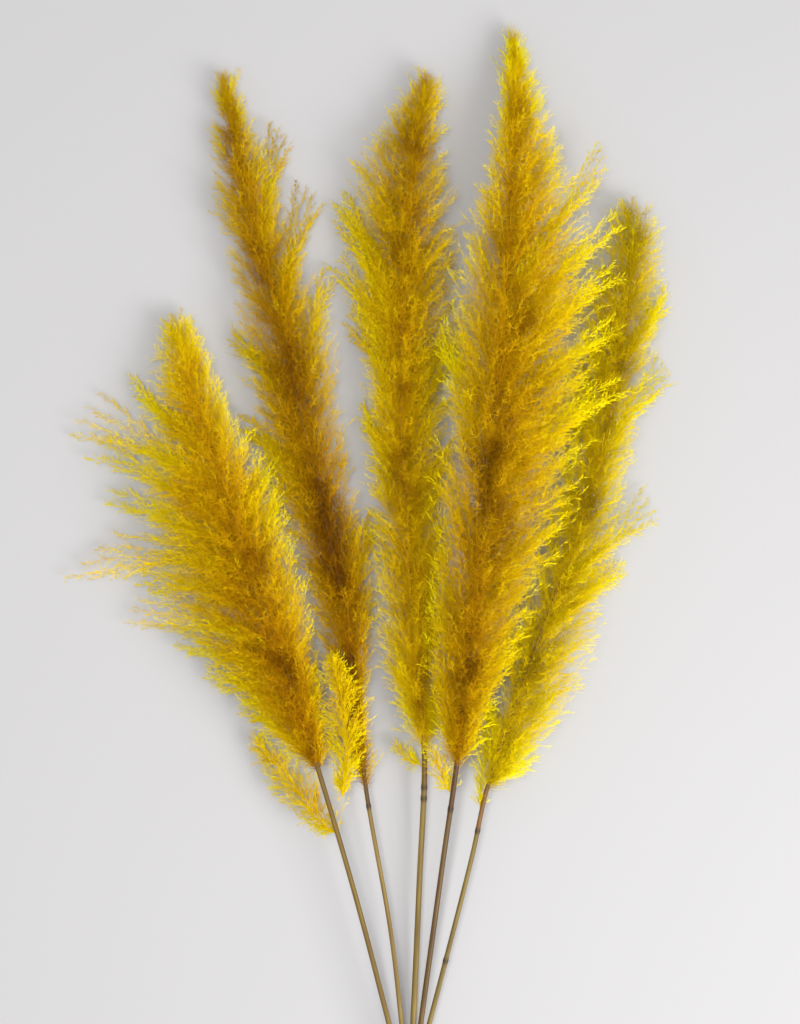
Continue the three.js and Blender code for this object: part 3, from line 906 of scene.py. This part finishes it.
# Each has its node, its stem, the y where it leaves the stalk, the places that it runs through from there,
# its half-widths from foot to tip, how much of it is bare at its foot, and how many branches it carries.
LOW_BRANCHES = [
    (
        "low_branch_1_left", 1, 168,
        [(0, 0, 0), (-23, 23, -10), (-48, 55, -18), (-77, 86, -22)],
        [3, 17, 20, 15, 3], 0.04, 150,
    ),
    (
        "low_branch_1_right", 1, 172,
        [(1, 0, 0), (5, 40, 0), (8, 92, 3), (-4, 158, 10)],
        [1, 12, 21, 23, 4], 0.2, 190,
    ),
    ("low_branch_3_left", 3, 230, [(0, 0, 0), (-13, 6, -2), (-26, 18, -8)], [1, 5, 6, 2], 0.1, 24),
    ("low_branch_4_left", 4, 204, [(0, 0, 0), (-10, 22, -2), (-20, 46, -2)], [1, 9, 12, 3], 0.1, 40),
    ("low_branch_5_left", 5, 182, [(0, 0, 0), (3, 50, -6), (12, 104, -10)], [1, 5, 8, 3], 0.1, 60),
]
LOW_LEAN = (0.8, 0.8)
LOW_FEET = (5, 14)                # its own branches leave it at least this far below their tips
LOW_BRANCHLET_LENGTHS = (6, 12)
LOW_BRANCHLET_SPACING = 6
LOW_HAIRS = 1.3
LOW_LEAST_OUT = 0.65              # it is coloured as the edge of a plume is, painted light included
for order, (name, number, from_y, run, widths, bare, count) in enumerate(LOW_BRANCHES):
    stalk = STEMS[number - 1]["stalk_route"]
    stalk_y = (stalk[:, 1] - plan_shift[1]) / MM
    root = np.array([np.interp(from_y, stalk_y, stalk[:, k]) for k in range(3)])
    route = smooth_route(run) * MM + root
    rng = np.random.default_rng(200 + order)
    fluffy = route[int(bare * len(route)):]
    branches = grow_branches(rng, fluffy, widths, widths, count, LOW_LEAN, LOW_FEET)
    # The thread-thin stem is one more arc, through the middle of its route.
    stem_arc = [route[0], route[len(route) // 2] * 2 - (route[0] + route[-1]) / 2, route[-1]]
    branches = [np.concatenate([some, one[None]]) for some, one in zip(branches, stem_arc)]

    def place_of(points, route=fluffy, widths=widths):
        """How far out each point counts as being, LOW_LEAST_OUT on the stem and 1 at the edge."""
        return LOW_LEAST_OUT + (1 - LOW_LEAST_OUT) * edge_share(points, route, widths, widths), 0

    make_fluff(
        name, PLUME_SLOTS[number - 1], 300 + 10 * order, fluffy, branches, place_of,
        LOW_BRANCHLET_SPACING, LOW_BRANCHLET_LENGTHS, LOW_HAIRS,
    )


# ---- The side branches ---------------------------------------------------------------------------
# Ten long branches that grow from the rachis, reach well clear of their plumes and end in a thin, pointed
# spray of spikelets.

# Each has its node, its stem, its share of the rachis, its side, and how far past the plume's edge and how
# far forward its tip lies.
SIDE_BRANCHES = [
    ("side_branch_1_low", 1, 0.36, -1, 41, 26),
    ("side_branch_1_middle", 1, 0.53, -1, 81, 7),
    ("side_branch_1_top", 1, 0.72, -1, 56, 51),
    ("side_branch_2_middle", 2, 0.73, 1, 24, 40),
    ("side_branch_2_top", 2, 0.83, 1, 16, 34),
    ("side_branch_3_middle", 3, 0.58, -1, 14, 26),
    ("side_branch_3_top", 3, 0.70, -1, 17, 42),
    ("side_branch_4_top", 4, 0.73, 1, 12, 58),
    ("side_branch_5_middle", 5, 0.43, 1, 28, 40),
    ("side_branch_5_top", 5, 0.66, 1, 19, 30),
]
# Each has shorter ones beside it: how far they reach, as a share, and how far ahead they end.
SIDE_COMPANIONS = [(1.0, 0), (0.8, 9), (0.7, -8), (0.55, 16), (0.45, -14), (0.3, 24)]
SIDE_BRANCHLET_LENGTHS = (6, 20)
SIDE_BRANCHLET_SPACING = 2.6
SIDE_HAIRS = 1.2
SIDE_OUT = 0.85                   # it is coloured nearly as pale as the edge of a plume, whose paleness is painted light
for order, (name, number, at, side, reach, forward) in enumerate(SIDE_BRANCHES):
    stem = STEMS[number - 1]
    wide = stem["left"] if side < 0 else stem["right"]
    arcs = [
        long_spray(stem["rachis_route"], wide, at, side, reach * share, forward + ahead)
        for share, ahead in SIDE_COMPANIONS
    ]
    branches = list(np.stack(arcs, 1))

    def place_of(points):
        """The same for every point of the branch."""
        return np.full(len(points), SIDE_OUT), 0

    main = bend(arcs[0], np.linspace(0, 1, 60))
    make_fluff(
        name, PLUME_SLOTS[number - 1], 500 + 10 * order, main, branches, place_of,
        SIDE_BRANCHLET_SPACING, SIDE_BRANCHLET_LENGTHS, SIDE_HAIRS,
    )
